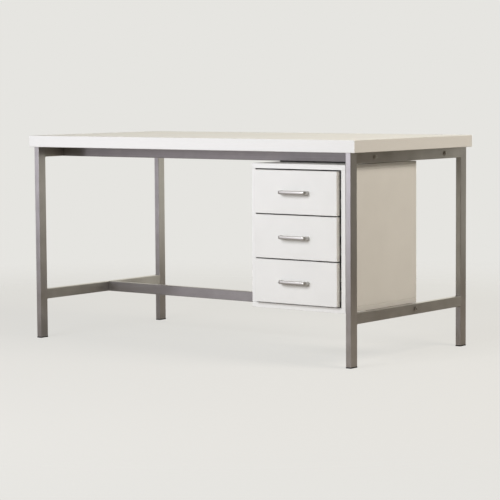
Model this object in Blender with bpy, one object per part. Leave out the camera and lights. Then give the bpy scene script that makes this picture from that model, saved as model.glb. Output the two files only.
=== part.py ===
"""Writing desk: a white board top on a steel tube frame, with a cabinet of three drawers.

Metres, +Z up. The origin is on the floor, under the middle of the whole desk's box.
+X points to the right of a person sitting at the desk, where the cabinet is, and +Y to the back.
"""
import math

import bmesh
import bpy
from mathutils import Matrix

# Whole desk
TOP_WIDTH = 1.400
TOP_DEPTH = 0.700
TOP_THICKNESS = 0.040
DESK_HEIGHT = 0.720
OVERHANG_X = 0.019          # top beyond the frame, left and right
OVERHANG_Y = 0.006          # top beyond the frame, front and back
GAP = 0.0003                # between pieces that touch

# Steel frame: rectangular tube, its narrow side along X on the side frames
TUBE_NARROW = 0.020
TUBE_WIDE = 0.035
TUBE_WALL = 0.0015
TUBE_CORNER = 0.0015
LOWER_RAIL_TOP = 0.173
BEAM_INSET = 0.1365         # middle of an upper beam from the frame's front or back
STRETCHER_INSET = 0.372     # middle of the stretcher from the frame's front
END_PLATE = 0.006           # welded in each beam end, tapped for its bolt
PLATE_HOLE_CUT = 0.024      # length of the tool that opens a plate's hole
GLIDE_HEIGHT = 0.004
GLIDE_EDGE = 0.001
PLUG_HEIGHT = 0.014

# Fasteners
BOLT_RADIUS = 0.004
BOLT_HEAD_RADIUS = 0.007
BOLT_HEAD_HEIGHT = 0.0035
BOLT_PAST_PLATE = 0.004
SOCKET_RADIUS = 0.0029
SOCKET_DEPTH = 0.002
SCREW_RADIUS = 0.003
SCREW_HEAD_RADIUS = 0.006
SCREW_HEAD_HEIGHT = 0.004
SCREW_INTO_BEAM = 0.008
ROUND_STEPS = 20
SHARP_ANGLE = math.radians(38)  # edges steeper than this stay sharp on turned pieces

# Cabinet
BOARD = 0.016
CABINET_WIDTH = 0.370
CABINET_DEPTH = 0.408
CABINET_HEIGHT = 0.468
CABINET_SIDE_GAP = 0.0005   # cabinet side to the right legs
BACK_BOARD = 0.008
BOARD_EDGE = 0.0006         # rounding of a board's edges
FRONT_EDGE = 0.0010
TOP_EDGE = 0.0012
THIN_EDGE = 0.0003

# Drawers, numbered from the top
DRAWERS = 3
FRONT_THICKNESS = 0.018
FRONT_PROUD = 0.016         # front stands out of the cabinet
FRONT_WIDTH = 0.326
FRONT_GAP = 0.004           # above and below each front
DRAWER_SIDE = 0.012
DRAWER_SIDE_HEIGHT = 0.100
DRAWER_SIDE_RAISE = 0.016   # box above the lower edge of its front
DRAWER_DEPTH = 0.350
DRAWER_BOTTOM = 0.004
BOTTOM_RAISE = 0.010
GROOVE_DEPTH = 0.006

# Slides: a channel on the cabinet and a narrower one on the drawer, mouth to mouth
SLIDE_SPACE = 0.0128
SLIDE_HEIGHT = 0.035
SLIDE_METAL = 0.0012
SLIDE_REACH = 0.0098        # how far a channel stands off its board
SLIDE_PLAY = 0.0010         # between the flanges of the two channels
SLIDE_LENGTH = 0.345

# Handles
HANDLE_LENGTH = 0.112
HANDLE_REACH = 0.024
HANDLE_BAR = 0.009
HANDLE_HEIGHT = 0.012
HANDLE_FOOT = 0.011
HANDLE_OUTER_RADIUS = 0.006
HANDLE_INNER_RADIUS = 0.003
HANDLE_EDGE = 0.0015
ARC_STEPS = 4

# Places worked out from the sizes above
DESK_DEPTH = TOP_DEPTH - OVERHANG_Y + FRONT_PROUD + HANDLE_REACH
TOP_BACK = DESK_DEPTH / 2
TOP_CENTRE_Y = TOP_BACK - TOP_DEPTH / 2
FRAME_FRONT = TOP_BACK - TOP_DEPTH + OVERHANG_Y
FRAME_BACK = TOP_BACK - OVERHANG_Y
FRAME_HALF_WIDTH = TOP_WIDTH / 2 - OVERHANG_X
FRAME_TOP = DESK_HEIGHT - TOP_THICKNESS - GAP
BEAM_Z = FRAME_TOP - TUBE_WIDE / 2
LOWER_RAIL_Z = LOWER_RAIL_TOP - TUBE_WIDE / 2
BEAM_YS = {"front": FRAME_FRONT + BEAM_INSET, "back": FRAME_BACK - BEAM_INSET}
STRETCHER_Y = FRAME_FRONT + STRETCHER_INSET
SIDES = {"left": -1, "right": 1}

CABINET_RIGHT = FRAME_HALF_WIDTH - TUBE_NARROW - CABINET_SIDE_GAP
CABINET_X = CABINET_RIGHT - CABINET_WIDTH / 2
CABINET_BOTTOM = LOWER_RAIL_TOP + GAP
CABINET_TOP = CABINET_BOTTOM + CABINET_HEIGHT
CABINET_Y = FRAME_FRONT + CABINET_DEPTH / 2
INNER_HALF_WIDTH = CABINET_WIDTH / 2 - BOARD
SPACER_HEIGHT = FRAME_TOP - TUBE_WIDE - CABINET_TOP - 2 * GAP
SPACER_LENGTH = 0.330
SCREW_X = 0.120             # cabinet screws either side of the cabinet's middle

FRONT_HEIGHT = (CABINET_HEIGHT - 2 * BOARD - (DRAWERS + 1) * FRONT_GAP) / DRAWERS
FRONT_FACE_Y = FRAME_FRONT - FRONT_PROUD
BOX_HALF_WIDTH = INNER_HALF_WIDTH - SLIDE_SPACE


def make_material(name, colour, roughness, metallic=0.0):
    """Principled material with one colour, given as linear RGB."""
    material = bpy.data.materials.new(name)
    material.use_nodes = True
    shader = material.node_tree.nodes["Principled BSDF"]
    shader.inputs["Base Color"].default_value = (*colour, 1.0)
    shader.inputs["Roughness"].default_value = roughness
    shader.inputs["Metallic"].default_value = metallic
    return material


def add_object(name, bm, material, location, parent=None):
    """Turn a bmesh into a named object at its place, with its faces pointing out."""
    bmesh.ops.recalc_face_normals(bm, faces=bm.faces)
    if bm.calc_volume(signed=True) < 0:
        bmesh.ops.reverse_faces(bm, faces=bm.faces)
    mesh = bpy.data.meshes.new(name)
    bm.to_mesh(mesh)
    bm.free()
    mesh.materials.append(material)
    piece = bpy.data.objects.new(name, mesh)
    piece.location = location
    bpy.context.collection.objects.link(piece)
    if parent:
        piece.parent = parent
    return piece


def box_bmesh(size, centre=(0, 0, 0)):
    bm = bmesh.new()
    place = Matrix.Translation(centre) @ Matrix.Diagonal((*size, 1))
    bmesh.ops.create_cube(bm, size=1, matrix=place)
    return bm


def board(name, size, location, material, parent=None, edge=BOARD_EDGE):
    """Flat board with softly broken edges."""
    bm = box_bmesh(size)
    bmesh.ops.bevel(bm, geom=bm.edges, offset=edge, segments=1, affect="EDGES")
    return add_object(name, bm, material, location, parent)


def cut(piece, name, bm):
    """Take the shape in bm, given about the piece's own centre, out of the piece."""
    cutter = add_object(name, bm, piece.data.materials[0], piece.location)
    cutter.parent = piece.parent
    cutter.hide_render = True
    cutter.display_type = "WIRE"
    modifier = piece.modifiers.new(name, "BOOLEAN")
    modifier.operation = "DIFFERENCE"
    modifier.solver = "EXACT"
    modifier.object = cutter


def smooth(piece):
    piece.data.shade_smooth()
    piece.data.set_sharp_from_angle(angle=SHARP_ANGLE)


def rounded_ring(bm, width, height, radius, place, steps=2):
    """Ring of vertices round a rectangle with rounded corners, in the plane that place gives."""
    ring = []
    for corner, (side_x, side_y) in enumerate(((1, 1), (-1, 1), (-1, -1), (1, -1))):
        for step in range(steps + 1):
            angle = (corner + step / steps) * math.pi / 2
            x = side_x * (width / 2 - radius) + radius * math.cos(angle)
            y = side_y * (height / 2 - radius) + radius * math.sin(angle)
            ring.append(bm.verts.new(place @ Matrix.Translation((x, y, 0)).to_translation()))
    return ring


def join_rings(bm, first, second):
    count = len(first)
    for index in range(count):
        after = (index + 1) % count
        bm.faces.new((first[index], first[after], second[after], second[index]))


# Turns that take a tube's length from +Z to another axis, its wide side kept upright on Y and X
ALONG = {
    "Z": Matrix.Identity(4),
    "Y": Matrix.Rotation(math.radians(90), 4, "X"),
    "X": Matrix.Rotation(math.radians(90), 4, "Z") @ Matrix.Rotation(math.radians(90), 4, "X"),
}


def tube(name, axis, length, location, material):
    """Open rectangular tube, narrow side first, with rounded outer corners."""
    bm = bmesh.new()
    rings = []
    for width, height, radius in (
        (TUBE_NARROW, TUBE_WIDE, TUBE_CORNER),
        (TUBE_NARROW - 2 * TUBE_WALL, TUBE_WIDE - 2 * TUBE_WALL, TUBE_CORNER / 3),
    ):
        for end in (-1, 1):
            place = ALONG[axis] @ Matrix.Translation((0, 0, end * length / 2))
            rings.append(rounded_ring(bm, width, height, radius, place))
    outer_low, outer_high, inner_low, inner_high = rings
    join_rings(bm, outer_low, outer_high)
    join_rings(bm, inner_low, inner_high)
    join_rings(bm, outer_low, inner_low)
    join_rings(bm, outer_high, inner_high)
    return add_object(name, bm, material, location)


def rod_bmesh(radius, length, centre=(0, 0, 0), axis="Z", sides=ROUND_STEPS):
    bm = bmesh.new()
    place = Matrix.Translation(centre) @ ALONG[axis]
    bmesh.ops.create_cone(
        bm, cap_ends=True, segments=sides, radius1=radius, radius2=radius, depth=length, matrix=place
    )
    return bm


def plated_tube(name, length, location, material):
    """Tube along X, closed by a tapped plate in each end."""
    bm = bmesh.new()
    rings = []
    for end in (-1, 1):
        place = ALONG["X"] @ Matrix.Translation((0, 0, end * length / 2))
        rings.append(rounded_ring(bm, TUBE_NARROW, TUBE_WIDE, TUBE_CORNER, place))
    join_rings(bm, rings[0], rings[1])
    for ring in rings:
        bm.faces.new(ring)
    piece = add_object(name, bm, material, location)
    hollow = (length - 2 * END_PLATE, TUBE_NARROW - 2 * TUBE_WALL, TUBE_WIDE - 2 * TUBE_WALL)
    cut(piece, name + "_hollow", box_bmesh(hollow))
    for side, sign in SIDES.items():
        centre = (sign * length / 2, 0, 0)
        hole = rod_bmesh(BOLT_RADIUS + GAP, PLATE_HOLE_CUT, centre, "X")
        cut(piece, f"{name}_hole_{side}", hole)
    return piece


def turned_bmesh(profile):
    """Solid turned round Z from (radius, height) points that start and end on the axis."""
    bm = bmesh.new()
    points = [bm.verts.new((radius, 0, height)) for radius, height in profile]
    edges = [bm.edges.new(pair) for pair in zip(points, points[1:])]
    bmesh.ops.spin(
        bm, geom=points + edges, axis=(0, 0, 1), cent=(0, 0, 0), angle=2 * math.pi, steps=ROUND_STEPS
    )
    bmesh.ops.remove_doubles(bm, verts=bm.verts, dist=1e-6)
    return bm


def fastener_bmesh(shank_radius, shank_length, head_radius, head_height):
    """Domed head on a plain shank; the head's seat is at z = 0 and the shank runs down."""
    shoulder = head_height * 0.45
    profile = (
        (0, -shank_length),
        (shank_radius * 0.8, -shank_length),
        (shank_radius, -shank_length + shank_radius * 0.3),
        (shank_radius, 0),
        (head_radius, 0),
        (head_radius, shoulder),
        (head_radius * 0.9, head_height * 0.75),
        (head_radius * 0.62, head_height),
        (0, head_height),
    )
    return turned_bmesh(profile)


def add_bolt(name, sign, y, z, material):
    """Socket bolt through a side rail into the plate of the beam behind it."""
    shank = TUBE_NARROW + GAP + END_PLATE + BOLT_PAST_PLATE
    bm = fastener_bmesh(BOLT_RADIUS, shank, BOLT_HEAD_RADIUS, BOLT_HEAD_HEIGHT)
    socket = rod_bmesh(SOCKET_RADIUS, 2 * SOCKET_DEPTH, (0, 0, BOLT_HEAD_HEIGHT), sides=6)
    outward = Matrix.Rotation(sign * math.radians(90), 4, "Y")
    bm.transform(outward)
    socket.transform(outward)
    bolt = add_object(name, bm, material, (sign * (FRAME_HALF_WIDTH + GAP), y, z))
    cut(bolt, name + "_socket", socket)
    smooth(bolt)


def add_side_frame(side, sign, steel):
    """Two legs with an upper and a lower rail between them, welded flush."""
    x = sign * (FRAME_HALF_WIDTH - TUBE_NARROW / 2)
    leg_length = FRAME_TOP - GLIDE_HEIGHT - GAP
    leg_z = FRAME_TOP - leg_length / 2
    leg_ys = {"front": FRAME_FRONT + TUBE_WIDE / 2, "back": FRAME_BACK - TUBE_WIDE / 2}
    for end, y in leg_ys.items():
        tube(f"leg_{end}_{side}", "Z", leg_length, (x, y, leg_z), steel)
    rail_length = FRAME_BACK - FRAME_FRONT - 2 * TUBE_WIDE - 2 * GAP
    middle_y = (FRAME_FRONT + FRAME_BACK) / 2
    holes = {
        "upper": (BEAM_Z, BEAM_YS.values()),
        "lower": (LOWER_RAIL_Z, (STRETCHER_Y,)),
    }
    for level, (z, ys) in holes.items():
        rail = tube(f"side_rail_{level}_{side}", "Y", rail_length, (x, middle_y, z), steel)
        for number, y in enumerate(ys, start=1):
            hole = rod_bmesh(BOLT_RADIUS + GAP, 2 * TUBE_NARROW, (0, y - middle_y, 0), "X")
            cut(rail, f"{rail.name}_hole_{number}", hole)


def add_cross_tubes(steel, bolt_steel):
    """Two upper beams and one stretcher, each bolted through the side rails."""
    length = 2 * (FRAME_HALF_WIDTH - TUBE_NARROW - GAP)
    for end, y in BEAM_YS.items():
        beam = plated_tube(f"beam_{end}", length, (0, y, BEAM_Z), steel)
        if end == "front":
            for side, sign in SIDES.items():
                centre = (CABINET_X + sign * SCREW_X, 0, -TUBE_WIDE / 2)
                hole = rod_bmesh(SCREW_RADIUS + GAP, 4 * TUBE_WALL, centre)
                cut(beam, f"beam_screw_hole_{side}", hole)
    plated_tube("stretcher", length, (0, STRETCHER_Y, LOWER_RAIL_Z), steel)
    for side, sign in SIDES.items():
        for end, y in BEAM_YS.items():
            add_bolt(f"beam_bolt_{end}_{side}", sign, y, BEAM_Z, bolt_steel)
        add_bolt(f"stretcher_bolt_{side}", sign, STRETCHER_Y, LOWER_RAIL_Z, bolt_steel)


def add_glides(plastic):
    """Moulded foot under each leg, with a plug pushed up into the tube."""
    plug_inset = TUBE_WALL + GAP
    for end, y in (("front", FRAME_FRONT + TUBE_WIDE / 2), ("back", FRAME_BACK - TUBE_WIDE / 2)):
        for side, sign in SIDES.items():
            bm = box_bmesh((TUBE_NARROW, TUBE_WIDE, GLIDE_HEIGHT))
            top = [face for face in bm.faces if face.normal.z > 0.9]
            bmesh.ops.inset_region(bm, faces=top, thickness=plug_inset, use_even_offset=True)
            plug = bmesh.ops.extrude_face_region(bm, geom=top)
            moved = [item for item in plug["geom"] if isinstance(item, bmesh.types.BMVert)]
            bmesh.ops.translate(bm, verts=moved, vec=(0, 0, PLUG_HEIGHT))
            bmesh.ops.delete(bm, geom=top, context="FACES")
            low = [edge for edge in bm.edges if all(v.co.z < 0 for v in edge.verts)]
            bmesh.ops.bevel(bm, geom=low, offset=GLIDE_EDGE, segments=2, affect="EDGES", profile=0.5)
            x = sign * (FRAME_HALF_WIDTH - TUBE_NARROW / 2)
            add_object(f"glide_{end}_{side}", bm, plastic, (x, y, GLIDE_HEIGHT / 2))


def add_cabinet(white, plastic, screw_steel):
    """Box of white boards: the sides stand on the bottom board and carry the top board."""
    flat = (CABINET_WIDTH, CABINET_DEPTH, BOARD)
    board("cabinet_bottom", flat, (CABINET_X, CABINET_Y, CABINET_BOTTOM + BOARD / 2), white)
    top = board("cabinet_top", flat, (CABINET_X, CABINET_Y, CABINET_TOP - BOARD / 2), white)
    side_height = CABINET_HEIGHT - 2 * BOARD - 2 * GAP
    middle_z = (CABINET_BOTTOM + CABINET_TOP) / 2
    for side, sign in SIDES.items():
        x = CABINET_X + sign * (CABINET_WIDTH - BOARD) / 2
        upright = (BOARD, CABINET_DEPTH, side_height)
        board(f"cabinet_side_{side}", upright, (x, CABINET_Y, middle_z), white)
    back_y = FRAME_FRONT + CABINET_DEPTH - BACK_BOARD / 2
    back = (2 * (INNER_HALF_WIDTH - GAP), BACK_BOARD, side_height)
    board("cabinet_back", back, (CABINET_X, back_y, middle_z), white)

    beam_y = BEAM_YS["front"]
    spacer_z = CABINET_TOP + GAP + SPACER_HEIGHT / 2
    spacer_size = (SPACER_LENGTH, TUBE_NARROW, SPACER_HEIGHT)
    spacer_place = (CABINET_X, beam_y, spacer_z)
    spacer = board("cabinet_spacer", spacer_size, spacer_place, plastic, edge=THIN_EDGE)
    head_seat = CABINET_TOP - BOARD - GAP
    shank = BOARD + SPACER_HEIGHT + TUBE_WALL + 3 * GAP + SCREW_INTO_BEAM
    for side, sign in SIDES.items():
        x = sign * SCREW_X
        through_top = rod_bmesh(SCREW_RADIUS + GAP, 2 * BOARD, (x, beam_y - CABINET_Y, 0))
        cut(top, f"cabinet_top_hole_{side}", through_top)
        cut(spacer, f"spacer_hole_{side}", rod_bmesh(SCREW_RADIUS + GAP, BOARD, (x, 0, 0)))
        screw = fastener_bmesh(SCREW_RADIUS, shank, SCREW_HEAD_RADIUS, SCREW_HEAD_HEIGHT)
        screw.transform(Matrix.Rotation(math.pi, 4, "X"))
        place = (CABINET_X + x, beam_y, head_seat)
        piece = add_object(f"cabinet_screw_{side}", screw, screw_steel, place)
        smooth(piece)


def channel_bmesh(height, reach, length, opening):
    """Channel along Y with its web at x = 0, flanges reaching towards opening (+1 or -1 on X)."""
    half = height / 2
    inner = half - SLIDE_METAL
    outline = (
        (0, -half), (reach, -half), (reach, -inner), (SLIDE_METAL, -inner),
        (SLIDE_METAL, inner), (reach, inner), (reach, half), (0, half),
    )
    bm = bmesh.new()
    corners = [bm.verts.new((opening * x, -length / 2, z)) for x, z in outline]
    end = bm.faces.new(corners)
    solid = bmesh.ops.extrude_face_region(bm, geom=[end])
    moved = [item for item in solid["geom"] if isinstance(item, bmesh.types.BMVert)]
    bmesh.ops.translate(bm, verts=moved, vec=(0, length, 0))
    return bm


def add_slides(number, box_z, holder, zinc):
    """One pair of channels each side of a drawer: the cabinet's stays, the drawer's travels."""
    slide_y = FRAME_FRONT + FRONT_THICKNESS - FRONT_PROUD + 2 * GAP + SLIDE_LENGTH / 2
    narrow = SLIDE_HEIGHT - 2 * (SLIDE_METAL + SLIDE_PLAY)
    for side, sign in SIDES.items():
        wall_x = CABINET_X + sign * (INNER_HALF_WIDTH - GAP)
        fixed = channel_bmesh(SLIDE_HEIGHT, SLIDE_REACH, SLIDE_LENGTH, -sign)
        add_object(f"slide_{number}_{side}_cabinet", fixed, zinc, (wall_x, slide_y, box_z))
        drawer_x = sign * (BOX_HALF_WIDTH + GAP)
        moving = channel_bmesh(narrow, SLIDE_REACH, SLIDE_LENGTH, sign)
        place = (drawer_x, slide_y - holder.location.y, box_z - holder.location.z)
        add_object(f"slide_{number}_{side}_drawer", moving, zinc, place, holder)


def handle_bmesh():
    """Bow handle seen in plan: a straight bar whose ends turn back to the drawer front."""
    half = HANDLE_LENGTH / 2
    inner_half = half - HANDLE_FOOT
    inner_reach = HANDLE_REACH - HANDLE_BAR

    def corner(x, y, radius, start):
        """Quarter arc round the centre (x, y), clockwise from the angle start in degrees."""
        angles = [math.radians(start - 90 * step / ARC_STEPS) for step in range(ARC_STEPS + 1)]
        return [(x + radius * math.cos(a), y + radius * math.sin(a)) for a in angles]

    outer, inner = HANDLE_OUTER_RADIUS, HANDLE_INNER_RADIUS
    outline = [(half, -GAP)]
    outline += corner(half - outer, -HANDLE_REACH + outer, outer, 0)
    outline += corner(-half + outer, -HANDLE_REACH + outer, outer, -90)
    outline += [(-half, -GAP), (-inner_half, -GAP)]
    outline += reversed(corner(-inner_half + inner, -inner_reach + inner, inner, -90))
    outline += reversed(corner(inner_half - inner, -inner_reach + inner, inner, 0))
    outline += [(inner_half, -GAP)]

    bm = bmesh.new()
    base = bm.faces.new([bm.verts.new((x, y, -HANDLE_HEIGHT / 2)) for x, y in outline])
    solid = bmesh.ops.extrude_face_region(bm, geom=[base])
    moved = [item for item in solid["geom"] if isinstance(item, bmesh.types.BMVert)]
    bmesh.ops.translate(bm, verts=moved, vec=(0, 0, HANDLE_HEIGHT))
    rims = [
        edge for edge in bm.edges
        if abs(edge.verts[0].co.z - edge.verts[1].co.z) < 1e-6
        and not all(vert.co.y > -2 * GAP for vert in edge.verts)
    ]
    bmesh.ops.bevel(bm, geom=rims, offset=HANDLE_EDGE, segments=2, affect="EDGES", profile=0.5)
    return bm


def add_drawer(number, white, hardboard, satin, zinc):
    """Drawer box on its slides, held by an empty in the middle of its front's face."""
    front_z = CABINET_TOP - BOARD - number * (FRONT_GAP + FRONT_HEIGHT) + FRONT_HEIGHT / 2
    holder = bpy.data.objects.new(f"drawer_{number}", None)
    holder.location = (CABINET_X, FRONT_FACE_Y, front_z)
    bpy.context.collection.objects.link(holder)

    side_low = -FRONT_HEIGHT / 2 + DRAWER_SIDE_RAISE
    side_z = side_low + DRAWER_SIDE_HEIGHT / 2
    bottom_z = side_low + BOTTOM_RAISE + DRAWER_BOTTOM / 2
    side_y = FRONT_THICKNESS + GAP + DRAWER_DEPTH / 2
    groove_height = DRAWER_BOTTOM + 2 * GAP
    inner_half = BOX_HALF_WIDTH - DRAWER_SIDE

    front_size = (FRONT_WIDTH, FRONT_THICKNESS, FRONT_HEIGHT)
    front_place = (0, FRONT_THICKNESS / 2, 0)
    front = board(
        f"drawer_{number}_front", front_size, front_place, white, holder, edge=FRONT_EDGE
    )
    groove = (2 * (inner_half + GROOVE_DEPTH), 2 * GROOVE_DEPTH, groove_height)
    cut(front, f"{front.name}_groove", box_bmesh(groove, (0, FRONT_THICKNESS / 2, bottom_z)))

    for side, sign in SIDES.items():
        size = (DRAWER_SIDE, DRAWER_DEPTH, DRAWER_SIDE_HEIGHT)
        x = sign * (inner_half + DRAWER_SIDE / 2)
        piece = board(f"drawer_{number}_side_{side}", size, (x, side_y, side_z), white, holder)
        groove = (2 * GROOVE_DEPTH, DRAWER_DEPTH * 1.1, groove_height)
        centre = (-sign * DRAWER_SIDE / 2, 0, bottom_z - side_z)
        cut(piece, f"{piece.name}_groove", box_bmesh(groove, centre))

    bottom_front = FRONT_THICKNESS - GROOVE_DEPTH + GAP
    bottom_back = FRONT_THICKNESS + GAP + DRAWER_DEPTH
    bottom_size = (
        2 * (inner_half + GROOVE_DEPTH - GAP), bottom_back - bottom_front, DRAWER_BOTTOM
    )
    bottom_place = (0, (bottom_front + bottom_back) / 2, bottom_z)
    board(f"drawer_{number}_bottom", bottom_size, bottom_place, hardboard, holder, edge=THIN_EDGE)

    back_low = bottom_z + DRAWER_BOTTOM / 2 + GAP
    back_high = side_low + DRAWER_SIDE_HEIGHT
    back_size = (2 * (inner_half - GAP), DRAWER_SIDE, back_high - back_low)
    back_place = (0, bottom_back - DRAWER_SIDE / 2, (back_low + back_high) / 2)
    board(f"drawer_{number}_back", back_size, back_place, white, holder)

    handle = add_object(f"drawer_{number}_handle", handle_bmesh(), satin, (0, 0, 0), holder)
    smooth(handle)
    add_slides(number, front_z + side_z, holder, zinc)


def main():
    for piece in list(bpy.data.objects):
        bpy.data.objects.remove(piece, do_unlink=True)

    white = make_material("white_melamine_board", (0.83, 0.83, 0.80), 0.38)
    steel = make_material("brushed_steel_tube", (0.30, 0.29, 0.29), 0.40, 1.0)
    bolt_steel = make_material("zinc_plated_bolt", (0.44, 0.43, 0.41), 0.35, 1.0)
    satin = make_material("satin_nickel", (0.62, 0.61, 0.59), 0.32, 1.0)
    zinc = make_material("zinc_plated_steel", (0.55, 0.57, 0.58), 0.35, 1.0)
    plastic = make_material("black_nylon", (0.02, 0.02, 0.02), 0.55)
    hardboard = make_material("white_faced_hardboard", (0.74, 0.73, 0.69), 0.50)

    top_place = (0, TOP_CENTRE_Y, DESK_HEIGHT - TOP_THICKNESS / 2)
    board("tabletop", (TOP_WIDTH, TOP_DEPTH, TOP_THICKNESS), top_place, white, edge=TOP_EDGE)
    for side, sign in SIDES.items():
        add_side_frame(side, sign, steel)
    add_cross_tubes(steel, bolt_steel)
    add_glides(plastic)
    add_cabinet(white, plastic, zinc)
    for number in range(1, DRAWERS + 1):
        add_drawer(number, white, hardboard, satin, zinc)


main()
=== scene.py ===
"""Writing desk with a white board top, a brushed steel frame and a hung cabinet of three drawers."""
import math

import bmesh
import bpy
from mathutils import Matrix, Vector


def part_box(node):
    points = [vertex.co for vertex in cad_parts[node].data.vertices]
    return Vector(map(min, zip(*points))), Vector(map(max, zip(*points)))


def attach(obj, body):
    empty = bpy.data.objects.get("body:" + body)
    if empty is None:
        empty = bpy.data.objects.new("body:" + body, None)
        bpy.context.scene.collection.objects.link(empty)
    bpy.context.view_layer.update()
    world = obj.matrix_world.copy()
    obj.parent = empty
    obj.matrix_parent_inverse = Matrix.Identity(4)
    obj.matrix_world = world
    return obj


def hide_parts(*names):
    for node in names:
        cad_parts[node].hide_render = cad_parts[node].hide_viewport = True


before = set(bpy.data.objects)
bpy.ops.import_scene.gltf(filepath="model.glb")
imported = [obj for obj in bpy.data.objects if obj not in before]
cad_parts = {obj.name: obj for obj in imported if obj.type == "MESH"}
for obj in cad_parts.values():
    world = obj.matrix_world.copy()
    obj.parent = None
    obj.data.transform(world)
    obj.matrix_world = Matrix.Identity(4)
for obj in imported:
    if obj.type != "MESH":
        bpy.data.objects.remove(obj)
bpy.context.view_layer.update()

# --- Desk top -------------------------------------------------------------------------------------
# A 40 mm board of chipboard pressed between white melamine papers. Its four sides are closed with
# a 2 mm strip of white ABS, glued on and rounded over, which leaves a hairline joint round the faces.
EDGING = 0.0020
GLUE_LINE = 0.00025
TOP_ROUNDING = 0.0016
ROUNDING_STEPS = 3
BEVEL_ANGLE = math.radians(30)
NOISE_SPAN = (0.3, 0.7)     # most of a noise pattern's values lie in this range
TONE_DRIFT = 0.111
PEARL = 0.0008
MELAMINE_ROUGHNESS = (0.34, 0.46)
EDGING_LINE = 0.025         # length of the lines left by the extruder
LINE_FINENESS = 30.0        # how much finer they are across the strip
GLUE_PATCH = 0.0167


def linear(colour):
    """An sRGB hex colour such as "#E6E6E2" as linear RGBA."""
    shares = [int(colour[place:place + 2], 16) / 255 for place in (1, 3, 5)]
    return [s / 12.92 if s <= 0.04045 else ((s + 0.055) / 1.055) ** 2.4 for s in shares] + [1.0]


def add_node(tree, kind, inputs=(), **settings):
    """A node with its settings; inputs are (socket name or number, value or output to link)."""
    made = tree.nodes.new(kind)
    for setting, value in settings.items():
        setattr(made, setting, value)
    for socket, value in inputs:
        if isinstance(value, bpy.types.NodeSocket):
            tree.links.new(value, made.inputs[socket])
        else:
            made.inputs[socket].default_value = value
    return made


def new_finish(name, constants, linked):
    """Material whose shader takes its constants straight and its patterns from linked(tree)."""
    finish = bpy.data.materials.new(name)
    finish.use_nodes = True
    tree = finish.node_tree
    shader = tree.nodes["Principled BSDF"]
    for socket, value in constants.items():
        shader.inputs[socket].default_value = value
    for socket, output in linked(tree).items():
        tree.links.new(output, shader.inputs[socket])
    return finish


def tinted(tree, pattern, dark, light):
    """Colour that runs from dark to light with a noise pattern."""
    ramp = add_node(tree, "ShaderNodeValToRGB", [("Fac", pattern)])
    for stop, position, colour in zip(ramp.color_ramp.elements, NOISE_SPAN, (dark, light)):
        stop.position = position
        stop.color = linear(colour)
    return ramp.outputs["Color"]


def melamine_pattern(tree):
    """Pearl texture of the press plate, 0.8 mm across, over a tone that drifts by a hand's width."""
    place = add_node(tree, "ShaderNodeTexCoord").outputs["Object"]
    drift = add_node(
        tree, "ShaderNodeTexNoise", [("Vector", place), ("Scale", 1 / TONE_DRIFT), ("Detail", 2.0)]
    )
    pearl = add_node(tree, "ShaderNodeTexNoise", [("Vector", place), ("Scale", 1 / PEARL), ("Detail", 3.0)])
    low, high = MELAMINE_ROUGHNESS
    gloss = add_node(
        tree, "ShaderNodeMapRange", [("Value", pearl.outputs["Fac"]), ("To Min", low), ("To Max", high)]
    )
    bump = add_node(
        tree, "ShaderNodeBump",
        [("Height", pearl.outputs["Fac"]), ("Strength", 0.35), ("Distance", 0.00006)],
    )
    return {
        "Base Color": tinted(tree, drift.outputs["Fac"], "#E4E4E0", "#E8E8E4"),
        "Roughness": gloss.outputs["Result"],
        "Normal": bump.outputs["Normal"],
    }


# White melamine paper, pressed with a fine pearl: a soft, even white with a wide, dull highlight.
melamine = new_finish("white_melamine", {"IOR": 1.5}, melamine_pattern)


def edging_pattern(tree):
    """Extruded ABS: smoother than the faces, with faint level lines."""
    place = add_node(tree, "ShaderNodeTexCoord").outputs["Object"]
    flat = add_node(tree, "ShaderNodeMapping", [("Vector", place), ("Scale", (1.0, 1.0, LINE_FINENESS))])
    lines = add_node(
        tree, "ShaderNodeTexNoise",
        [("Vector", flat.outputs["Vector"]), ("Scale", 1 / EDGING_LINE), ("Detail", 4.0)],
    )
    bump = add_node(
        tree, "ShaderNodeBump",
        [("Height", lines.outputs["Fac"]), ("Strength", 0.15), ("Distance", 0.00008)],
    )
    return {
        "Base Color": tinted(tree, lines.outputs["Fac"], "#E5E5E1", "#E9E9E6"),
        "Normal": bump.outputs["Normal"],
    }


# White ABS edging: the same white, a little glossier, so that a rounded corner draws a thin light line.
edging = new_finish("white_abs_edging", {"Roughness": 0.32, "IOR": 1.53}, edging_pattern)


def glue_pattern(tree):
    place = add_node(tree, "ShaderNodeTexCoord").outputs["Object"]
    patches = add_node(tree, "ShaderNodeTexNoise", [("Vector", place), ("Scale", 1 / GLUE_PATCH)])
    return {"Base Color": tinted(tree, patches.outputs["Fac"], "#B4B2AA", "#C6C4BD")}


# Hot-melt glue in the joint: a hairline, a shade darker than the boards.
glue_line = new_finish("edging_glue_line", {"Roughness": 0.6}, glue_pattern)


def block(name, low, high):
    """Box between two corners, with its object at the origin and its place in its mesh."""
    bpy.ops.object.select_all(action="DESELECT")
    low, high = Vector(low), Vector(high)
    bpy.ops.mesh.primitive_cube_add(size=1, location=(low + high) / 2, scale=high - low)
    piece = bpy.context.object
    piece.name = piece.data.name = name
    bpy.ops.object.transform_apply(location=True, rotation=True, scale=True)
    return piece


def round_off(piece, width):
    """Round every edge sharper than the bevel angle, and leave the flat faces shaded flat."""
    bpy.ops.object.shade_smooth()
    rounding = piece.modifiers.new("rounding", "BEVEL")
    rounding.width = width
    rounding.segments = ROUNDING_STEPS
    rounding.limit_method = "ANGLE"
    rounding.angle_limit = BEVEL_ANGLE
    rounding.harden_normals = True
    bpy.ops.object.modifier_apply(modifier=rounding.name)


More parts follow.
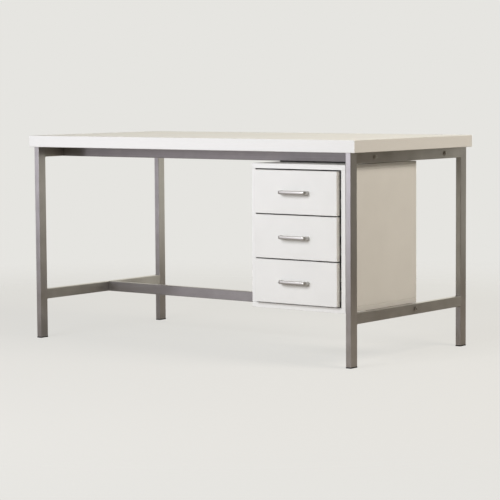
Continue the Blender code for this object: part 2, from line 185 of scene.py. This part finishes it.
def cut_out(piece, tool):
    """Cut a tool's shape out of a piece, and take the tool away."""
    cutting = piece.modifiers.new("cut", "BOOLEAN")
    cutting.object = tool
    bpy.ops.object.select_all(action="DESELECT")
    bpy.context.view_layer.objects.active = piece
    piece.select_set(True)
    bpy.ops.object.modifier_apply(modifier=cutting.name)
    bpy.data.objects.remove(tool)


def edged_board(node, banded, rounding, strip=EDGING, tools=()):
    """Board in a CAD node's place, with edging on its banded sides, (axis, end) pairs, and cuts."""
    low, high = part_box(node)
    piece = block(node + "_board", low, high)
    ends = [(axis, end, (high if end > 0 else low)[axis]) for axis, end in banded]
    bpy.ops.object.mode_set(mode="EDIT")
    for axis, end, side in ends:
        for depth in (strip, strip + GLUE_LINE):
            normal = Vector([float(axis == each) for each in range(3)])
            bpy.ops.mesh.select_all(action="SELECT")
            bpy.ops.mesh.bisect(plane_co=normal * (side - end * depth), plane_no=normal)
    bpy.ops.object.mode_set(mode="OBJECT")
    for finish in (melamine, edging, glue_line):
        piece.data.materials.append(finish)
    for face in piece.data.polygons:
        depth = min(abs(side - face.center[axis]) for axis, end, side in ends)
        if depth < strip:
            face.material_index = 1
        elif depth < strip + GLUE_LINE:
            face.material_index = 2
    for tool in tools:
        cut_out(piece, tool)
    round_off(piece, rounding)
    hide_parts(node)
    return piece


LEFT, RIGHT, FRONT, BACK, BOTTOM, TOP = (0, -1), (0, 1), (1, -1), (1, 1), (2, -1), (2, 1)
desk_top = edged_board("tabletop", (LEFT, RIGHT, FRONT, BACK), TOP_ROUNDING)
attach(desk_top, "desk")

# --- Steel frame ----------------------------------------------------------------------------------
# Rectangular steel tube, 20 x 35 mm. Each end of the desk is a welded frame of two legs and two
# rails, ground flush and brushed along the tube, then lacquered; beams and a stretcher join them.
STREAK = 0.0015             # real brush lines are a tenth of this, too fine to see at arm's length
STREAK_LENGTH = 0.150
TONE_CLOUD = 0.0714
STEEL_ROUGHNESS = (0.30, 0.40)


def brushed_steel(name, along, dark, light):
    """Steel brushed along one axis, 0 for X to 2 for Z: streaks along it, a highlight across it."""
    def pattern(tree):
        place = add_node(tree, "ShaderNodeTexCoord").outputs["Object"]
        scale = [1 / STREAK] * 3
        scale[along] = 1 / STREAK_LENGTH
        stretch = add_node(tree, "ShaderNodeMapping", [("Vector", place), ("Scale", scale)])
        streaks = add_node(
            tree, "ShaderNodeTexNoise",
            [("Vector", stretch.outputs["Vector"]), ("Scale", 1.0), ("Detail", 5.0), ("Roughness", 0.7)],
        )
        clouds = add_node(
            tree, "ShaderNodeTexNoise", [("Vector", place), ("Scale", 1 / TONE_CLOUD), ("Detail", 3.0)]
        )
        both = add_node(
            tree, "ShaderNodeMath", [(0, streaks.outputs["Fac"]), (1, clouds.outputs["Fac"])],
            operation="ADD",
        )
        half = add_node(tree, "ShaderNodeMath", [(0, both.outputs[0]), (1, 0.5)], operation="MULTIPLY")
        gloss = add_node(
            tree, "ShaderNodeMapRange",
            [("Value", half.outputs[0]), ("From Min", NOISE_SPAN[0]), ("From Max", NOISE_SPAN[1]),
             ("To Min", STEEL_ROUGHNESS[0]), ("To Max", STEEL_ROUGHNESS[1])],
        )
        bump = add_node(
            tree, "ShaderNodeBump",
            [("Height", streaks.outputs["Fac"]), ("Strength", 0.2), ("Distance", 0.00005)],
        )
        grain = add_node(tree, "ShaderNodeTangent", direction_type="RADIAL", axis="XYZ"[along])
        return {
            "Base Color": tinted(tree, half.outputs[0], dark, light),
            "Roughness": gloss.outputs["Result"],
            "Normal": bump.outputs["Normal"],
            "Tangent": grain.outputs["Tangent"],
        }
    return new_finish(name, {"Metallic": 1.0, "Anisotropic": 0.75}, pattern)


# Brushed mild steel under thin lacquer: grey with fine lines; each face reflects one side of the room.
# The two beams are given a darker steel as painted shade, for the shadow that the desk top's overhang casts
# on them.
leg_steel = brushed_steel("leg_steel", 2, "#B0ADAB", "#CDCAC9")
rail_steel = brushed_steel("rail_steel", 1, "#A9A6A3", "#C6C3C1")
stretcher_steel = brushed_steel("stretcher_steel", 0, "#A5A2A0", "#C0BDBB")
# Painted shade: the beams' steel is darker only because they lie in the shadow under the desk top.
beam_steel_painted_shade = brushed_steel("beam_steel_painted_shade", 0, "#8A8785", "#A6A2A0")
SIDES = ("left", "right")
ENDS = ("front", "back")
for side in SIDES:
    for end in ENDS:
        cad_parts[f"leg_{end}_{side}"].material_slots[0].material = leg_steel
    for level in ("upper", "lower"):
        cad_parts[f"side_rail_{level}_{side}"].material_slots[0].material = rail_steel
for end in ENDS:
    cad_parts[f"beam_{end}"].material_slots[0].material = beam_steel_painted_shade
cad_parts["stretcher"].material_slots[0].material = stretcher_steel

# --- Welds ----------------------------------------------------------------------------------------
# Each rail is welded between its two legs. The weld is ground flush all round, and a small hollow
# fillet stays below each rail, and above the lower ones, as wide as the flat of the tube.
WELD = 0.0035
WELD_SPAN = 0.017
WELD_CUT = 0.9              # how much of the bar's height the hollow takes
WELD_HOLLOW = 0.12          # bevel profile: a quarter is a flat, less than that is hollow
WELD_STEPS = 5
TUBE_CORNER = 0.0015        # outer rounding of the tube, which the flush weld fills
TUBE_CORNER_STEPS = 4
TUBE_GAP = 0.0003           # between a rail's end and the flat of the leg
SOFT_ANGLE = math.radians(40)   # edges flatter than this are shaded smooth
NEAR = 0.00001              # places closer than this are one


def pick(kind, wanted):
    """In edit mode, select just the vertices, edges or faces that pass a test."""
    bpy.ops.mesh.select_mode(type=kind)
    bpy.ops.mesh.select_all(action="DESELECT")
    mesh = bmesh.from_edit_mesh(bpy.context.edit_object.data)
    for item in {"VERT": mesh.verts, "EDGE": mesh.edges, "FACE": mesh.faces}[kind]:
        if wanted(item):
            item.select_set(True)
    bmesh.update_edit_mesh(bpy.context.edit_object.data)


def finish_weld(piece):
    """Leave edit mode, and give a shaped weld its shading, its steel and its place on the desk."""
    bpy.ops.object.mode_set(mode="OBJECT")
    bpy.ops.object.shade_smooth_by_angle(angle=SOFT_ANGLE)
    piece.data.materials.append(rail_steel)
    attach(piece, "desk")


def corner_weld(name, middle_x, corner_y, corner_z, into_y, into_z):
    """Bar in a corner, whose free edge is hollowed out; into_y and into_z point into the opening."""
    far_y, far_z = corner_y + into_y * WELD, corner_z + into_z * WELD
    low = (middle_x - WELD_SPAN / 2, min(corner_y, far_y), min(corner_z, far_z))
    high = (middle_x + WELD_SPAN / 2, max(corner_y, far_y), max(corner_z, far_z))
    piece = block(name, low, high)
    bpy.ops.object.mode_set(mode="EDIT")
    pick("EDGE", lambda edge: all(
        abs(vert.co.y - far_y) < NEAR and abs(vert.co.z - far_z) < NEAR for vert in edge.verts
    ))
    bpy.ops.mesh.bevel(offset=WELD * WELD_CUT, segments=WELD_STEPS, profile=WELD_HOLLOW)
    finish_weld(piece)


def flush_weld(name, rail_low, rail_high, end_y, into_y):
    """Slice with the rail's section, from the rail's end into the leg's rounded corner."""
    leg_y = end_y - into_y * (TUBE_CORNER + TUBE_GAP)
    piece = block(
        name, (rail_low.x, min(end_y, leg_y), rail_low.z), (rail_high.x, max(end_y, leg_y), rail_high.z)
    )
    bpy.ops.object.mode_set(mode="EDIT")
    pick("EDGE", lambda edge: abs(edge.verts[0].co.y - edge.verts[1].co.y) > NEAR)
    bpy.ops.mesh.bevel(offset=TUBE_CORNER, segments=TUBE_CORNER_STEPS)
    finish_weld(piece)


UNDER, OVER = -1, 1
for side in SIDES:
    for level, rises in (("upper", (UNDER,)), ("lower", (UNDER, OVER))):
        rail_low, rail_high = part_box(f"side_rail_{level}_{side}")
        middle_x = (rail_low.x + rail_high.x) / 2
        for end, foot_y, into_y in (("front", rail_low.y, 1), ("back", rail_high.y, -1)):
            flush_weld(f"weld_flush_{level}_{end}_{side}", rail_low, rail_high, foot_y, into_y)
            for rise in rises:
                place = {UNDER: "under", OVER: "over"}[rise]
                corner_z = rail_high.z if rise == OVER else rail_low.z
                corner_weld(f"weld_{place}_{level}_{end}_{side}", middle_x, foot_y, corner_z, into_y, rise)

# --- Glides ---------------------------------------------------------------------------------------
# A moulded black nylon plug is pressed into the foot of each leg. Only its 4 mm sole shows, which is
# the size of the tube and keeps the steel off the floor.
SPARK_PIT = 0.0011          # real pits are a tenth of this, too fine to see


def nylon_pattern(tree):
    place = add_node(tree, "ShaderNodeTexCoord").outputs["Object"]
    spark = add_node(
        tree, "ShaderNodeTexNoise", [("Vector", place), ("Scale", 1 / SPARK_PIT), ("Detail", 2.0)]
    )
    bump = add_node(
        tree, "ShaderNodeBump",
        [("Height", spark.outputs["Fac"]), ("Strength", 0.5), ("Distance", 0.00008)],
    )
    return {
        "Base Color": tinted(tree, spark.outputs["Fac"], "#1B1B1B", "#2A2A29"),
        "Normal": bump.outputs["Normal"],
    }


# Moulded nylon with a spark-eroded skin: near black and dull.
nylon = new_finish("black_nylon", {"Roughness": 0.55, "IOR": 1.53}, nylon_pattern)
for side in SIDES:
    for end in ENDS:
        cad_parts[f"glide_{end}_{side}"].material_slots[0].material = nylon

# --- Frame bolts ----------------------------------------------------------------------------------
# Six button-head socket screws go through the side rails into the threaded ends of the beams and the
# stretcher, so that the desk can be taken apart. Their heads stand 3.5 mm off the rail.
PLATE_CLOUD = 0.00385
PLATE_ROUGHNESS = (0.28, 0.42)


def plated_pattern(tree):
    place = add_node(tree, "ShaderNodeTexCoord").outputs["Object"]
    cloud = add_node(
        tree, "ShaderNodeTexNoise", [("Vector", place), ("Scale", 1 / PLATE_CLOUD), ("Detail", 3.0)]
    )
    low, high = PLATE_ROUGHNESS
    gloss = add_node(
        tree, "ShaderNodeMapRange", [("Value", cloud.outputs["Fac"]), ("To Min", low), ("To Max", high)]
    )
    return {
        "Base Color": tinted(tree, cloud.outputs["Fac"], "#AFABA6", "#C0BCB7"),
        "Roughness": gloss.outputs["Result"],
    }


# Zinc plate over turned steel: an even grey with no brush lines, a little cloudy.
bolt_zinc = new_finish("plated_bolt_steel", {"Metallic": 1.0}, plated_pattern)
HEAD_RADIUS = 0.0070
HEAD_HEIGHT = 0.0035
HEAD_ROUNDING = 0.0020
HEAD_ROUNDING_STEPS = 5
SHANK_RADIUS = 0.0040
POINT = 0.0008              # chamfer at the tip
SOCKET_ACROSS = 0.0050      # flat to flat
SOCKET_DEPTH = 0.0020
TURNED_FACETS = 48
FACING = 0.9                # a face looks along an axis if its normal has this much of it
CRISP_ANGLE = math.radians(35)  # edges sharper than this stay sharp
QUARTER_TURN = math.radians(90)


def socket_screw(node):
    """Head first, then the shank drawn out of its flat side, the rim rounded and the socket cut."""
    low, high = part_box(node)
    outward = 1 if low.x > 0 else -1
    crown, tip = (high.x, low.x) if outward > 0 else (low.x, high.x)
    middle = (low + high) / 2
    bpy.ops.object.select_all(action="DESELECT")
    bpy.ops.mesh.primitive_cylinder_add(
        vertices=TURNED_FACETS, radius=HEAD_RADIUS, depth=HEAD_HEIGHT,
        location=(crown - outward * HEAD_HEIGHT / 2, middle.y, middle.z), rotation=(0, QUARTER_TURN, 0),
    )
    piece = bpy.context.object
    piece.name = piece.data.name = node + "_screw"
    bpy.ops.object.transform_apply(location=True, rotation=True, scale=True)
    bpy.ops.object.mode_set(mode="EDIT")
    pick("FACE", lambda face: face.normal.x * outward < -FACING)
    bpy.ops.mesh.inset(thickness=HEAD_RADIUS - SHANK_RADIUS)
    shank = abs(crown - tip) - HEAD_HEIGHT
    bpy.ops.mesh.extrude_region_move(TRANSFORM_OT_translate={"value": (-outward * shank, 0, 0)})
    for level, width, steps in ((tip, POINT, 1), (crown, HEAD_ROUNDING, HEAD_ROUNDING_STEPS)):
        pick("EDGE", lambda edge: all(abs(vert.co.x - level) < NEAR for vert in edge.verts))
        bpy.ops.mesh.bevel(offset=width, segments=steps)
    bpy.ops.object.mode_set(mode="OBJECT")
    bpy.ops.object.select_all(action="DESELECT")
    bpy.ops.mesh.primitive_cylinder_add(
        vertices=6, radius=SOCKET_ACROSS / math.sqrt(3), depth=2 * SOCKET_DEPTH,
        location=(crown, middle.y, middle.z), rotation=(0, QUARTER_TURN, 0),
    )
    cut_out(piece, bpy.context.object)
    bpy.ops.object.shade_smooth_by_angle(angle=CRISP_ANGLE)
    piece.data.materials.append(bolt_zinc)
    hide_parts(node)
    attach(piece, "desk")


for side in SIDES:
    for bolt in (f"beam_bolt_front_{side}", f"beam_bolt_back_{side}", f"stretcher_bolt_{side}"):
        socket_screw(bolt)

# --- Cabinet --------------------------------------------------------------------------------------
# A box of 16 mm white boards, doweled together: the sides stand on the bottom board and carry the
# top board. Only the front edges have edging. An 8 mm board let in between the sides is the back.
BOARD_ROUNDING = 0.0005
CABINET_STRIP = 0.0010
SCREW_HOLE = 0.0033         # radius of the clearance hole
HOLE_FACETS = 32


def screw_hole_tool(screw, board):
    """Rod round a screw's axis, long enough to go through a board."""
    low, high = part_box(screw)
    board_low, board_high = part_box(board)
    bpy.ops.object.select_all(action="DESELECT")
    bpy.ops.mesh.primitive_cylinder_add(
        vertices=HOLE_FACETS, radius=SCREW_HOLE, depth=2 * (board_high.z - board_low.z),
        location=((low.x + high.x) / 2, (low.y + high.y) / 2, (board_low.z + board_high.z) / 2),
    )
    return bpy.context.object


for board in ("cabinet_bottom", "cabinet_top", "cabinet_side_left", "cabinet_side_right"):
    drills = []
    if board == "cabinet_top":
        drills = [screw_hole_tool(f"cabinet_screw_{side}", board) for side in SIDES]
    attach(edged_board(board, (FRONT,), BOARD_ROUNDING, CABINET_STRIP, drills), "desk")
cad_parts["cabinet_back"].material_slots[0].material = melamine

# --- Spacer, screws and slides --------------------------------------------------------------------
# Two zinc-plated screws hang the cabinet from the front beam, over a strip coloured black as painted shade,
# for the dark slit between the beam and the cabinet. Each drawer
# runs on two pairs of rolled channels, one channel of each on the cabinet and one on the drawer.
SPANGLE = 0.00455


def zinc_pattern(tree):
    place = add_node(tree, "ShaderNodeTexCoord").outputs["Object"]
    spangle = add_node(tree, "ShaderNodeTexVoronoi", [("Vector", place), ("Scale", 1 / SPANGLE)])
    return {"Base Color": tinted(tree, spangle.outputs["Distance"], "#BFC3C6", "#CDD0D2")}


# Bright zinc: cool, light grey with a faint crystal pattern.
zinc = new_finish("bright_zinc", {"Metallic": 1.0, "Roughness": 0.34}, zinc_pattern)
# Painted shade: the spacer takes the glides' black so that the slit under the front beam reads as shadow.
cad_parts["cabinet_spacer"].material_slots[0].material = nylon
for side in SIDES:
    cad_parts[f"cabinet_screw_{side}"].material_slots[0].material = zinc

DRAWERS = (1, 2, 3)
CHANNEL_METAL = 0.0012
CHANNEL_BEND = 0.0018       # outer radius of the two bends
CHANNEL_BEND_STEPS = 5


def rolled_channel(node, mouth):
    """Open strip with two rounded bends, then its thickness; mouth is -1 or +1 along X."""
    low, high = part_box(node)
    piece = block(node + "_channel", low, high)
    web = low.x if mouth > 0 else high.x
    bpy.ops.object.mode_set(mode="EDIT")
    pick("FACE", lambda face: abs(face.normal.y) > FACING or face.normal.x * mouth > FACING)
    bpy.ops.mesh.delete(type="FACE")
    pick("EDGE", lambda edge: (
        all(abs(vert.co.x - web) < NEAR for vert in edge.verts)
        and abs(edge.verts[0].co.z - edge.verts[1].co.z) < NEAR
    ))
    bpy.ops.mesh.bevel(offset=CHANNEL_BEND, segments=CHANNEL_BEND_STEPS)
    bpy.ops.object.mode_set(mode="OBJECT")
    wall = piece.modifiers.new("wall", "SOLIDIFY")
    wall.thickness = CHANNEL_METAL
    wall.offset = -1
    wall.use_even_offset = True
    bpy.ops.object.modifier_apply(modifier=wall.name)
    bpy.ops.object.shade_smooth_by_angle(angle=CRISP_ANGLE)
    piece.data.materials.append(zinc)
    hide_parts(node)
    return piece


for number in DRAWERS:
    for side, inward in zip(SIDES, (1, -1)):
        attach(rolled_channel(f"slide_{number}_{side}_cabinet", inward), "desk")
        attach(rolled_channel(f"slide_{number}_{side}_drawer", -inward), f"drawer_{number}")

# --- Drawers --------------------------------------------------------------------------------------
# Each front is an 18 mm board with edging all round. It stands proud of the cabinet and carries a
# box of 12 mm white boards with a hardboard bottom let into grooves.
FRONT_ROUNDING = 0.0010
GROOVE_PLAY = 0.0003        # round the bottom, in the groove behind the front
FIBRE = 0.00238


def hardboard_pattern(tree):
    place = add_node(tree, "ShaderNodeTexCoord").outputs["Object"]
    fibre = add_node(tree, "ShaderNodeTexNoise", [("Vector", place), ("Scale", 1 / FIBRE), ("Detail", 6.0)])
    bump = add_node(
        tree, "ShaderNodeBump",
        [("Height", fibre.outputs["Fac"]), ("Strength", 0.3), ("Distance", 0.0001)],
    )
    return {
        "Base Color": tinted(tree, fibre.outputs["Fac"], "#DAD9D3", "#E2E1DC"),
        "Normal": bump.outputs["Normal"],
    }


# Painted hardboard: a slightly greyer white in which short fibres show.
hardboard = new_finish("white_hardboard", {"Roughness": 0.5}, hardboard_pattern)
for number in DRAWERS:
    panel_low, panel_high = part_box(f"drawer_{number}_bottom")
    play = Vector([GROOVE_PLAY] * 3)
    groove = block("groove", panel_low - play, panel_high + play)
    front = edged_board(
        f"drawer_{number}_front", (LEFT, RIGHT, BOTTOM, TOP), FRONT_ROUNDING, tools=[groove]
    )
    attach(front, f"drawer_{number}")
    for part in ("side_left", "side_right", "back"):
        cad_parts[f"drawer_{number}_{part}"].material_slots[0].material = melamine
    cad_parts[f"drawer_{number}_bottom"].material_slots[0].material = hardboard

# --- Handles --------------------------------------------------------------------------------------
# A bow of solid bar in satin nickel, 112 mm long, whose ends turn back to the drawer front and are
# held by screws from inside. Its edges are well rounded, so it shades from light above to dark below.
BAR_DEPTH = 0.0105
HANDLE_ROUNDING = 0.0042
HANDLE_ROUNDING_STEPS = 4
BEND_RADIUS = 0.0030        # inside the two bends
BEND_STEPS = 8
SATIN_LINE = 0.0004
SATIN_LENGTH = 0.030


def satin_pattern(tree):
    place = add_node(tree, "ShaderNodeTexCoord").outputs["Object"]
    scale = (1 / SATIN_LENGTH, 1 / SATIN_LINE, 1 / SATIN_LINE)
    stretch = add_node(tree, "ShaderNodeMapping", [("Vector", place), ("Scale", scale)])
    lines = add_node(
        tree, "ShaderNodeTexNoise", [("Vector", stretch.outputs["Vector"]), ("Scale", 1.0), ("Detail", 3.0)]
    )
    bump = add_node(
        tree, "ShaderNodeBump",
        [("Height", lines.outputs["Fac"]), ("Strength", 0.15), ("Distance", 0.00003)],
    )
    return {
        "Base Color": tinted(tree, lines.outputs["Fac"], "#C2C0BC", "#CECCC8"),
        "Normal": bump.outputs["Normal"],
    }


# Satin nickel plate: warm light grey with a soft, broad highlight.
satin_nickel = new_finish("satin_nickel", {"Metallic": 1.0, "Roughness": 0.44}, satin_pattern)


def bow_handle(number):
    """Section of the bar drawn at the right foot, then extruded and spun round both bends."""
    low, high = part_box(f"drawer_{number}_handle")
    section = Vector((BAR_DEPTH, 0, high.z - low.z))
    start = Vector((high.x - section.x / 2, high.y, (low.z + high.z) / 2))
    bpy.ops.object.select_all(action="DESELECT")
    bpy.ops.mesh.primitive_plane_add(size=1, location=start, rotation=(QUARTER_TURN, 0, 0))
    piece = bpy.context.object
    piece.name = piece.data.name = f"drawer_{number}_bow"
    piece.scale = (section.x, section.z, 1)
    bpy.ops.object.transform_apply(location=True, rotation=True, scale=True)
    bpy.ops.object.mode_set(mode="EDIT")
    bpy.ops.mesh.select_all(action="SELECT")
    bpy.ops.mesh.bevel(affect="VERTICES", offset=HANDLE_ROUNDING, segments=HANDLE_ROUNDING_STEPS)
    reach = high.y - low.y - section.x - BEND_RADIUS
    inner_x = start.x - section.x / 2 - BEND_RADIUS
    bend_y = high.y - reach
    run = 2 * (inner_x - (low.x + high.x) / 2)
    pick("FACE", lambda face: True)
    bpy.ops.mesh.extrude_region_move(TRANSFORM_OT_translate={"value": (0, -reach, 0)})
    bpy.ops.mesh.spin(
        steps=BEND_STEPS, angle=QUARTER_TURN, center=(inner_x, bend_y, start.z), axis=(0, 0, 1)
    )
    bpy.ops.mesh.extrude_region_move(TRANSFORM_OT_translate={"value": (-run, 0, 0)})
    bpy.ops.mesh.spin(
        steps=BEND_STEPS, angle=QUARTER_TURN, center=(inner_x - run, bend_y, start.z), axis=(0, 0, 1)
    )
    bpy.ops.mesh.extrude_region_move(TRANSFORM_OT_translate={"value": (0, reach, 0)})
    bpy.ops.mesh.select_all(action="SELECT")
    bpy.ops.mesh.remove_doubles(threshold=NEAR)
    bpy.ops.mesh.normals_make_consistent(inside=False)
    bpy.ops.object.mode_set(mode="OBJECT")
    bpy.ops.object.shade_smooth_by_angle(angle=SOFT_ANGLE)
    piece.data.materials.append(satin_nickel)
    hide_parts(f"drawer_{number}_handle")
    return piece


for number in DRAWERS:
    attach(bow_handle(number), f"drawer_{number}")

# --- Handle screws --------------------------------------------------------------------------------
# Two zinc-plated pan-head screws go through each drawer front into the feet of its handle. Only
# their domed heads are made, with a cross recess, on the back of the front.
PAN_RADIUS = 0.0040
PAN_HEIGHT = 0.0026
PAN_ROUNDING = 0.0016
PAN_ROUNDING_STEPS = 4
PAN_FACETS = 32
RECESS = (0.0044, 0.0012, 0.0014)   # length and width of each arm, depth


def handle_screw(number, side, foot_x):
    """Head on the back of a drawer front, behind one foot of the handle."""
    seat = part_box(f"drawer_{number}_front")[1].y
    handle_low, handle_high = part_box(f"drawer_{number}_handle")
    middle_z = (handle_low.z + handle_high.z) / 2
    bpy.ops.object.select_all(action="DESELECT")
    bpy.ops.mesh.primitive_cylinder_add(
        vertices=PAN_FACETS, radius=PAN_RADIUS, depth=PAN_HEIGHT,
        location=(foot_x, seat + PAN_HEIGHT / 2, middle_z), rotation=(QUARTER_TURN, 0, 0),
    )
    piece = bpy.context.object
    piece.name = piece.data.name = f"drawer_{number}_handle_screw_{side}"
    bpy.ops.object.transform_apply(location=True, rotation=True, scale=True)
    bpy.ops.object.mode_set(mode="EDIT")
    crown = seat + PAN_HEIGHT
    pick("EDGE", lambda edge: all(abs(vert.co.y - crown) < NEAR for vert in edge.verts))
    bpy.ops.mesh.bevel(offset=PAN_ROUNDING, segments=PAN_ROUNDING_STEPS)
    bpy.ops.object.mode_set(mode="OBJECT")
    long_half, short_half, depth = RECESS[0] / 2, RECESS[1] / 2, RECESS[2]
    for reach_x, reach_z in ((long_half, short_half), (short_half, long_half)):
        low = (foot_x - reach_x, crown - depth, middle_z - reach_z)
        high = (foot_x + reach_x, crown + depth, middle_z + reach_z)
        cut_out(piece, block("recess", low, high))
    bpy.ops.object.shade_smooth_by_angle(angle=CRISP_ANGLE)
    piece.data.materials.append(zinc)
    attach(piece, f"drawer_{number}")


for number in DRAWERS:
    handle_low, handle_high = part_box(f"drawer_{number}_handle")
    handle_screw(number, "left", handle_low.x + BAR_DEPTH / 2)
    handle_screw(number, "right", handle_high.x - BAR_DEPTH / 2)

# --- Studio ---------------------------------------------------------------------------------------
# A pale floor that fades into a pale room. A large soft light stands in front and a warm one hangs
# high on the right. Two wide panels, front and back, are what the steel and the desk top mirror.
PALE = "#E6E5E1"
ROOM_LIGHT = "#5C5448"      # what the room gives to the desk, though it is seen as pale
FLOOR_LIGHT = "#ABA7A0"     # and what the floor throws back at it
FLOOR_MATT = 0.22           # share of the floor's look that takes shadows
FLOOR_RADIUS = 8.0
FLOOR_FADE = (1.6, 3.4)     # from the desk's middle, the floor gives way to the room
LIGHT_AT = Vector((0, 0, 0.45))

bpy.context.scene.view_settings.view_transform = "Standard"


def soft_light(name, place, target, width, height, watts, colour):
    """Soft box of a width and a height that faces a target."""
    bpy.ops.object.light_add(type="AREA", location=place)
    lamp = bpy.context.object
    lamp.name = name
    lamp.data.shape = "RECTANGLE"
    lamp.data.size = width
    lamp.data.size_y = height
    lamp.data.energy = watts
    lamp.data.color = linear(colour)[:3]
    lamp.rotation_euler = (Vector(target) - Vector(place)).to_track_quat("-Z", "Y").to_euler()
    lamp.visible_camera = False
    return lamp


soft_light("key_softbox", (0.0, -4.6, 2.3), LIGHT_AT, 2.6, 2.6, 176, "#F8FAFE")
soft_light("front_panel", (-1.6, -3.0, 1.2), (-1.6, 0, 1.2), 3.2, 2.4, 32, "#F2F0FF")
soft_light("back_panel", (-0.8, 3.0, 1.4), (-0.8, 0, 1.4), 6.0, 2.8, 58, "#FFFEF2")
# The warm light is kept out of the steel's sheen. The strip overhead adds nothing but sheen.
fill = soft_light("fill_softbox", (3.4, 0.3, 3.3), LIGHT_AT, 2.0, 2.0, 108, "#FFF4E8")
fill.visible_glossy = False
overhead = soft_light("overhead_strip", (-1.6, -1.6, 3.0), (-1.6, -1.6, 0), 1.2, 2.4, 15, "#FFFFFF")
overhead.visible_diffuse = False

world = bpy.data.worlds.new("studio")
bpy.context.scene.world = world
world.use_nodes = True
room = world.node_tree
room.nodes.clear()
lit = add_node(room, "ShaderNodeBackground", [("Color", linear(ROOM_LIGHT)), ("Strength", 1.0)])
seen = add_node(room, "ShaderNodeBackground", [("Color", linear(PALE)), ("Strength", 1.0)])
straight = add_node(room, "ShaderNodeLightPath").outputs["Is Camera Ray"]
sky = add_node(
    room, "ShaderNodeMixShader", [(0, straight), (1, lit.outputs[0]), (2, seen.outputs[0])]
)
add_node(room, "ShaderNodeOutputWorld", [("Surface", sky.outputs[0])])

bpy.ops.object.select_all(action="DESELECT")
bpy.ops.mesh.primitive_circle_add(vertices=64, radius=FLOOR_RADIUS, fill_type="NGON")
floor = bpy.context.object
floor.name = "floor"
paper = bpy.data.materials.new("pale_floor_paper")
paper.use_nodes = True
tree = paper.node_tree
tree.nodes.clear()
place = add_node(tree, "ShaderNodeTexCoord").outputs["Object"]
distance = add_node(tree, "ShaderNodeVectorMath", [(0, place)], operation="LENGTH")
fade = add_node(
    tree, "ShaderNodeMapRange",
    [("Value", distance.outputs["Value"]), ("From Min", FLOOR_FADE[0]), ("From Max", FLOOR_FADE[1])],
    interpolation_type="SMOOTHSTEP",
)
glow = add_node(tree, "ShaderNodeEmission", [("Color", linear(PALE))])
matt = add_node(tree, "ShaderNodeBsdfDiffuse", [("Color", linear(PALE))])
shaded = add_node(
    tree, "ShaderNodeMixShader", [(0, FLOOR_MATT), (1, glow.outputs[0]), (2, matt.outputs[0])]
)
dim = add_node(tree, "ShaderNodeBsdfDiffuse", [("Color", linear(FLOOR_LIGHT))])
straight = add_node(tree, "ShaderNodeLightPath").outputs["Is Camera Ray"]
sheet = add_node(
    tree, "ShaderNodeMixShader", [(0, straight), (1, dim.outputs[0]), (2, shaded.outputs[0])]
)
clear = add_node(tree, "ShaderNodeBsdfTransparent")
faded = add_node(
    tree, "ShaderNodeMixShader", [(0, fade.outputs["Result"]), (1, sheet.outputs[0]), (2, clear.outputs[0])]
)
add_node(tree, "ShaderNodeOutputMaterial", [("Surface", faded.outputs[0])])
floor.data.materials.append(paper)

# The lens is long and stands far off, so that the legs look almost upright.
CAMERA_PLACE = (4.219, -5.415, 0.894)
CAMERA_TURN = 37.735        # degrees to the left of straight at the desk
CAMERA_DOWN = 4.765
CAMERA_ROLL = -0.372
CAMERA_LENS = 142.67        # mm
CAMERA_SIGHT = 100          # metres to the far end of its view
bpy.ops.object.camera_add(location=CAMERA_PLACE)
camera = bpy.context.object
turn = Matrix.Rotation(math.radians(CAMERA_TURN), 4, "Z")
tilt = Matrix.Rotation(math.radians(90 - CAMERA_DOWN), 4, "X")
roll = Matrix.Rotation(math.radians(CAMERA_ROLL), 4, "Z")
camera.rotation_euler = (turn @ tilt @ roll).to_euler()
camera.data.lens = CAMERA_LENS
camera.data.clip_end = CAMERA_SIGHT
bpy.context.scene.camera = camera
